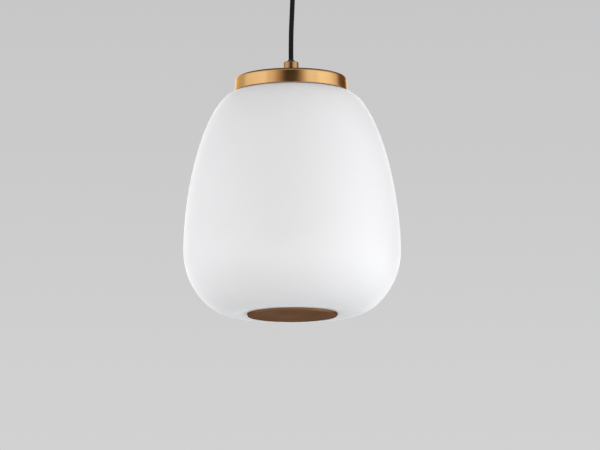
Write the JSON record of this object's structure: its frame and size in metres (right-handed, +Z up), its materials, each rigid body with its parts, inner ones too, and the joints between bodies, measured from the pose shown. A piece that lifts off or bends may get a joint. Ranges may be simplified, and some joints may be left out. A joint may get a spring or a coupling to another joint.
{
  "type": "pendant ceiling light",
  "caption": "Pendant ceiling light: egg-shaped opal glass shade with a round brass cap above and a brass closing disc below, on a black fabric flex from a round ceiling canopy.",
  "frame": {"origin": "centre of the ceiling strap's upper face, on the ceiling plane", "axes": "+Z up to the ceiling, along the light's axis; -Y is the front; X across"},
  "size_m": [0.2994, 0.2994, 0.561],
  "materials": {
    "satin_brass": "satin, lightly aged, lacquered",
    "turned_brass": "bright turned",
    "zinc_steel": "zinc plated",
    "opal_glass": "white opal, satin etched",
    "clear_silicone": "translucent silicone",
    "black_rubber": "matte",
    "black_braid": "braided textile sleeve",
    "white_plastic": "matte white",
    "holder_ceramic": "glazed",
    "brown_sleeve": "PVC core sleeve",
    "blue_sleeve": "PVC core sleeve",
    "green_sleeve": "PVC core sleeve, green and yellow",
    "black_bead": "glassy insulating bead"
  },
  "bodies": {
    "ceiling": {"mounting_strap": "zinc_steel", "canopy_shell": "satin_brass", "canopy_screw_left": "turned_brass", "canopy_screw_right": "turned_brass", "canopy_gland_body": "satin_brass", "canopy_gland_nut": "zinc_steel", "canopy_gland_screw": "zinc_steel", "terminal_block": "white_plastic", "terminal_live": "turned_brass", "terminal_neutral": "turned_brass", "terminal_block_screw": "zinc_steel", "earth_screw": "zinc_steel", "earth_washer": "turned_brass", "canopy_live_wire": "brown_sleeve", "canopy_neutral_wire": "blue_sleeve", "canopy_earth_wire": "green_sleeve"},
    "top_bush": {"canopy_gland_bush": "black_rubber"},
    "cord": {"pendant_cord": "black_braid"},
    "lower_bush": {"lamp_gland_bush": "black_rubber"},
    "lamp": {"lamp_gland_body": "satin_brass", "lamp_gland_screw": "zinc_steel", "top_cap": "satin_brass", "hollow_nipple": "turned_brass", "nipple_washer": "zinc_steel", "nipple_locknut": "turned_brass", "fitter_bar": "zinc_steel", "neck_gasket": "clear_silicone", "lampholder_cover": "satin_brass", "lampholder_body": "holder_ceramic", "lampholder_shell": "turned_brass", "lampholder_contact": "turned_brass", "yoke_rod_left": "zinc_steel", "yoke_rod_right": "zinc_steel", "rod_nut_upper_left": "zinc_steel", "rod_nut_upper_right": "zinc_steel", "rod_nut_lower_left": "zinc_steel", "rod_nut_lower_right": "zinc_steel", "yoke_bridge": "zinc_steel", "yoke_stud": "zinc_steel", "stud_nut_upper": "zinc_steel", "stud_nut_lower": "zinc_steel", "lamp_live_wire": "brown_sleeve", "lamp_neutral_wire": "blue_sleeve", "lamp_earth_wire": "green_sleeve"},
    "shade": {"glass_shade": "opal_glass"},
    "disc": {"bottom_disc": "satin_brass", "disc_boss": "turned_brass", "bottom_gasket": "clear_silicone"},
    "bulb": {"bulb_base_shell": "zinc_steel", "bulb_contact": "turned_brass", "bulb_base_insulator": "black_bead", "bulb_housing": "white_plastic", "bulb_dome": "white_plastic"}
  },
  "joints": [
    {"name": "cord_swing_front_back", "type": "hinge", "parent": "ceiling", "child": "top_bush", "pos_m": [0, 0, -0.046], "axis": [1, 0, 0], "range_deg": [-25, 25]},
    {"name": "cord_swing_side", "type": "hinge", "parent": "top_bush", "child": "cord", "pos_m": [0, 0, -0.046], "axis": [0, 1, 0], "range_deg": [-25, 25]},
    {"name": "lamp_tilt_front_back", "type": "hinge", "parent": "cord", "child": "lower_bush", "pos_m": [0, 0, -0.206], "axis": [1, 0, 0], "range_deg": [-25, 25]},
    {"name": "lamp_tilt_side", "type": "hinge", "parent": "lower_bush", "child": "lamp", "pos_m": [0, 0, -0.206], "axis": [0, 1, 0], "range_deg": [-25, 25]},
    {"name": "shade_drop", "type": "slide", "parent": "lamp", "child": "shade", "axis": [0, 0, -1], "range_m": [0, 0.335]},
    {"name": "disc_turn", "type": "hinge", "parent": "shade", "child": "disc", "pos_m": [0, 0, -0.559], "axis": [0, 0, 1], "continuous": true},
    {"name": "bulb_turn", "type": "hinge", "parent": "lamp", "child": "bulb", "pos_m": [0, 0, -0.32], "axis": [0, 0, 1], "continuous": true}
  ]
}
